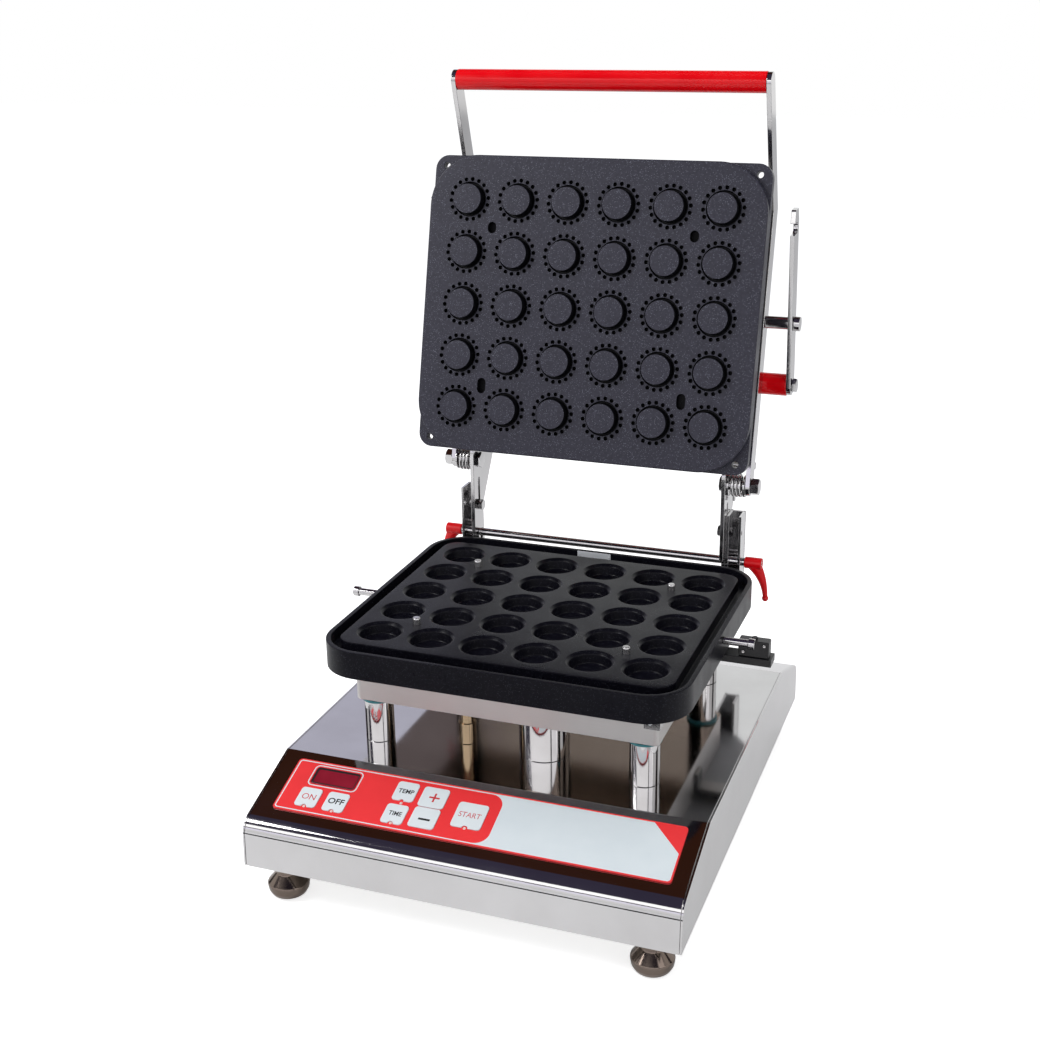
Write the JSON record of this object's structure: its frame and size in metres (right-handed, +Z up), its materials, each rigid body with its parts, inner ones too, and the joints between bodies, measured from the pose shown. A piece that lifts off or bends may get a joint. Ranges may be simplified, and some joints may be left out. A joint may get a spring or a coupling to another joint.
{
  "type": "tartlet shell maker",
  "caption": "Bench-top tartlet shell press: a plate of cups on a low steel base, and a hinged lid of plungers held by a hooked latch bail, with a sloping key panel.",
  "frame": {"origin": "middle of the bounding box's bottom, on the plane the feet stand on", "axes": "+Z up, -Y toward the control panel, +X right as seen from the front"},
  "size_m": [0.459, 0.551, 0.7632],
  "materials": {
    "polished_steel": "mirror-polished stainless steel",
    "brushed_steel": "satin stainless steel",
    "black_coating": "black non-stick coating on cast aluminium",
    "dark_coating": "dark grey non-stick coating with fine sparkle on cast aluminium",
    "red_plastic": "glossy red plastic",
    "overlay": "printed red and white polyester foil",
    "display": "dark red display window",
    "key": "white keypad foil",
    "black_plastic": "black moulded plastic",
    "board": "green circuit board",
    "transformer": "laminated core with wound copper",
    "aluminium": "cast heater plate"
  },
  "bodies": {
    "base": {"base_shell": "polished_steel", "side_panel_left": "polished_steel", "side_panel_right": "polished_steel", "base_plate": "brushed_steel", "foot_front_left": "brushed_steel", "foot_front_right": "brushed_steel", "foot_rear_left": "brushed_steel", "foot_rear_right": "brushed_steel", "power_gland": "black_plastic", "control_overlay": "overlay", "display_window": "display", "control_board": "board", "transformer": "transformer", "terminal_block": "black_plastic", "column_front_left": "polished_steel", "column_front_right": "polished_steel", "column_rear_left": "polished_steel", "column_rear_right": "polished_steel", "column_centre": "polished_steel", "sensor_conduit": "polished_steel", "lower_heater_box": "brushed_steel", "lower_heater": "aluminium", "lower_plate": "black_coating", "catch_pin_left": "polished_steel", "catch_pin_right": "polished_steel", "switch_bracket": "black_plastic", "lid_switch": "black_plastic", "hinge_bracket_left": "brushed_steel", "slot_bolt_left": "polished_steel", "hinge_bracket_right": "brushed_steel", "slot_bolt_right": "polished_steel", "clamp_shaft": "polished_steel"},
    "carriage": {"hinge_upright_left": "polished_steel", "hinge_bolt_left": "polished_steel", "torsion_spring_left": "polished_steel", "hinge_upright_right": "polished_steel", "hinge_bolt_right": "polished_steel", "torsion_spring_right": "polished_steel"},
    "lid": {"upper_plate": "dark_coating", "lid_heater": "aluminium", "lid_housing": "brushed_steel", "lid_rail_front": "brushed_steel", "lid_rail_rear": "brushed_steel", "lid_arm_left": "polished_steel", "latch_pivot_left": "polished_steel", "lid_arm_right": "polished_steel", "latch_pivot_right": "polished_steel", "handle": "red_plastic"},
    "latch_bail": {"latch_lever_left": "polished_steel", "latch_lever_right": "polished_steel", "latch_bar": "red_plastic"},
    "clamp_lever_left": {"clamp_lever_left": "red_plastic"},
    "clamp_lever_right": {"clamp_lever_right": "red_plastic"},
    "key_on": {"key_on": "key"},
    "key_off": {"key_off": "key"},
    "key_temperature": {"key_temperature": "key"},
    "key_time": {"key_time": "key"},
    "key_plus": {"key_plus": "key"},
    "key_minus": {"key_minus": "key"},
    "key_start": {"key_start": "key"}
  },
  "joints": [
    {"name": "gap_slide", "type": "slide", "parent": "base", "child": "carriage", "axis": [0, 0, 1], "range_m": [0, 0.003]},
    {"name": "lid_hinge", "type": "hinge", "parent": "carriage", "child": "lid", "pos_m": [-0.007, 0.1735, 0.329], "axis": [1, 0, 0], "range_deg": [0, 104.4]},
    {"name": "latch_hinge", "type": "hinge", "parent": "lid", "child": "latch_bail", "pos_m": [-0.007, 0.2176, 0.50238], "axis": [1, 0, 0], "range_deg": [0, 69.7]},
    {"name": "clamp_left_turn", "type": "hinge", "parent": "base", "child": "clamp_lever_left", "pos_m": [-0.187, 0.178, 0.238], "axis": [1, 0, 0], "range_deg": [0, 90]},
    {"name": "clamp_right_turn", "type": "hinge", "parent": "base", "child": "clamp_lever_right", "pos_m": [0.173, 0.178, 0.238], "axis": [1, 0, 0], "range_deg": [0, 90]},
    {"name": "key_on_press", "type": "slide", "parent": "base", "child": "key_on", "axis": [0, 0.3223, -0.9466], "range_m": [0, 0.0005], "stiffness_N_per_m": 600},
    {"name": "key_off_press", "type": "slide", "parent": "base", "child": "key_off", "axis": [0, 0.3223, -0.9466], "range_m": [0, 0.0005], "stiffness_N_per_m": 600},
    {"name": "key_temperature_press", "type": "slide", "parent": "base", "child": "key_temperature", "axis": [0, 0.3223, -0.9466], "range_m": [0, 0.0005], "stiffness_N_per_m": 600},
    {"name": "key_time_press", "type": "slide", "parent": "base", "child": "key_time", "axis": [0, 0.3223, -0.9466], "range_m": [0, 0.0005], "stiffness_N_per_m": 600},
    {"name": "key_plus_press", "type": "slide", "parent": "base", "child": "key_plus", "axis": [0, 0.3223, -0.9466], "range_m": [0, 0.0005], "stiffness_N_per_m": 600},
    {"name": "key_minus_press", "type": "slide", "parent": "base", "child": "key_minus", "axis": [0, 0.3223, -0.9466], "range_m": [0, 0.0005], "stiffness_N_per_m": 600},
    {"name": "key_start_press", "type": "slide", "parent": "base", "child": "key_start", "axis": [0, 0.3223, -0.9466], "range_m": [0, 0.0005], "stiffness_N_per_m": 600}
  ]
}
